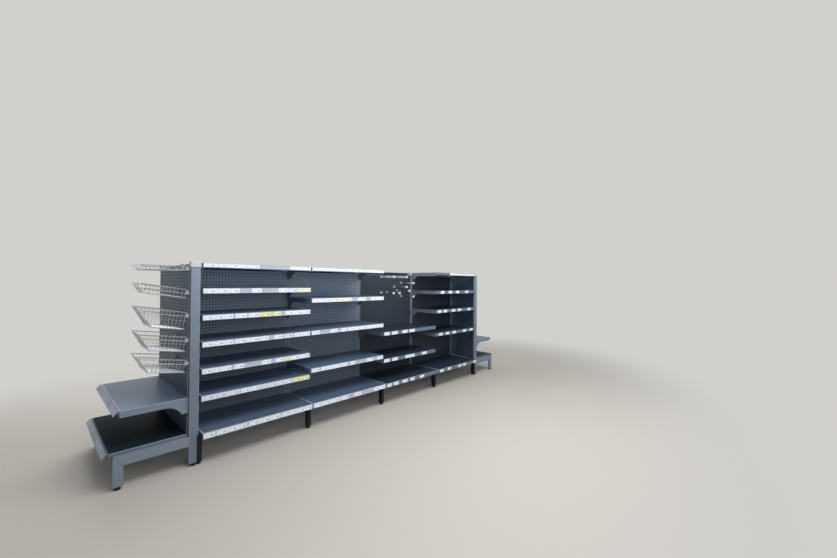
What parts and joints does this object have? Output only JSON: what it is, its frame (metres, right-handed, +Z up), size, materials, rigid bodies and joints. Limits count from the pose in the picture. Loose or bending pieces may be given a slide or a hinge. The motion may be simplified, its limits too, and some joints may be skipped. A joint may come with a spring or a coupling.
{
  "type": "shop gondola shelving run",
  "caption": "Double-sided steel shop shelving run with perforated back panels and ticket strips, and at each end a shelved end unit with a column of wire baskets.",
  "frame": {"origin": "on the floor under the middle of the run, at the centre of its bounding box", "axes": "+X along the run from the near end unit to the far one, front side towards -Y, +Z up"},
  "size_m": [4.6984, 1.068, 1.496],
  "materials": {
    "painted_steel": "satin blue-grey powder coat",
    "black_steel": "black powder coat",
    "shelf_steel": "satin slate blue powder coat",
    "charcoal_steel": "satin charcoal powder coat",
    "panel_steel": "satin blue-grey powder coat, perforated",
    "ticket_plastic": "extruded milky grey ticket strip",
    "end_ticket_plastic": "extruded grey-violet ticket strip",
    "cap_plastic": "moulded white cap, a little aged",
    "foot_plastic": "moulded black foot",
    "zinc_wire": "bright zinc-plated wire"
  },
  "bodies": {
    "root": {"upright_1": "painted_steel", "upright_2": "painted_steel", "upright_3": "painted_steel", "upright_4": "painted_steel", "upright_5": "painted_steel", "base_legs_1": "black_steel", "base_legs_2": "black_steel", "base_legs_3": "black_steel", "base_legs_4": "black_steel", "base_legs_5": "black_steel", "back_panels_bay_1": "panel_steel", "back_panels_bay_2": "panel_steel", "back_panels_bay_3": "charcoal_steel", "back_panels_bay_4": "charcoal_steel", "base_shelves_bay_1": "shelf_steel", "base_shelves_bay_2": "shelf_steel", "base_shelves_bay_3": "charcoal_steel", "base_shelves_bay_4": "charcoal_steel", "shelves_bay_1": "shelf_steel", "shelves_bay_2": "shelf_steel", "shelves_bay_3": "charcoal_steel", "shelves_bay_4": "charcoal_steel", "front_brackets": "painted_steel", "rear_brackets": "painted_steel", "front_ticket_strips": "ticket_plastic", "rear_ticket_strips": "ticket_plastic", "top_rails": "painted_steel", "post_caps": "cap_plastic", "levelling_feet": "foot_plastic", "peg_hooks": "zinc_wire", "near_end_posts": "painted_steel", "far_end_posts": "painted_steel", "near_end_panel": "panel_steel", "far_end_panel": "panel_steel", "near_end_base_legs": "painted_steel", "far_end_base_legs": "painted_steel", "near_end_base_shelf": "charcoal_steel", "far_end_base_shelf": "charcoal_steel", "near_end_shelf": "shelf_steel", "far_end_shelf": "shelf_steel", "end_brackets": "painted_steel", "end_ticket_strips": "end_ticket_plastic", "basket_floors": "zinc_wire", "basket_fronts": "zinc_wire", "basket_ends": "zinc_wire"}
  },
  "joints": []
}
